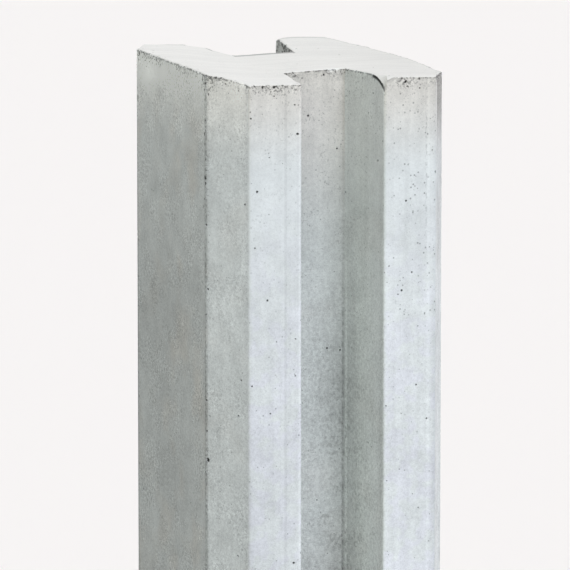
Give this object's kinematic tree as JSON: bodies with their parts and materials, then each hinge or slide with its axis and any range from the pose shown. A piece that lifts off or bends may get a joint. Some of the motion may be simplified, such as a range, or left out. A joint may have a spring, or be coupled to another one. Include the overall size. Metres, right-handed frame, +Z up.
{
  "type": "concrete fence post",
  "caption": "Upright cast concrete post with chamfered corners and a full-length slot in each of two opposite faces, into which fence panels slide",
  "frame": {"origin": "middle of the foot, on the ground end", "axes": "+Z up along the post, Y along the fence line out of the two slots, X across the fence"},
  "size_m": [0.115, 0.138, 1.8],
  "materials": {
    "concrete": "pale grey smooth-cast concrete, matte"
  },
  "bodies": {
    "root": {"post": "concrete"}
  },
  "joints": []
}
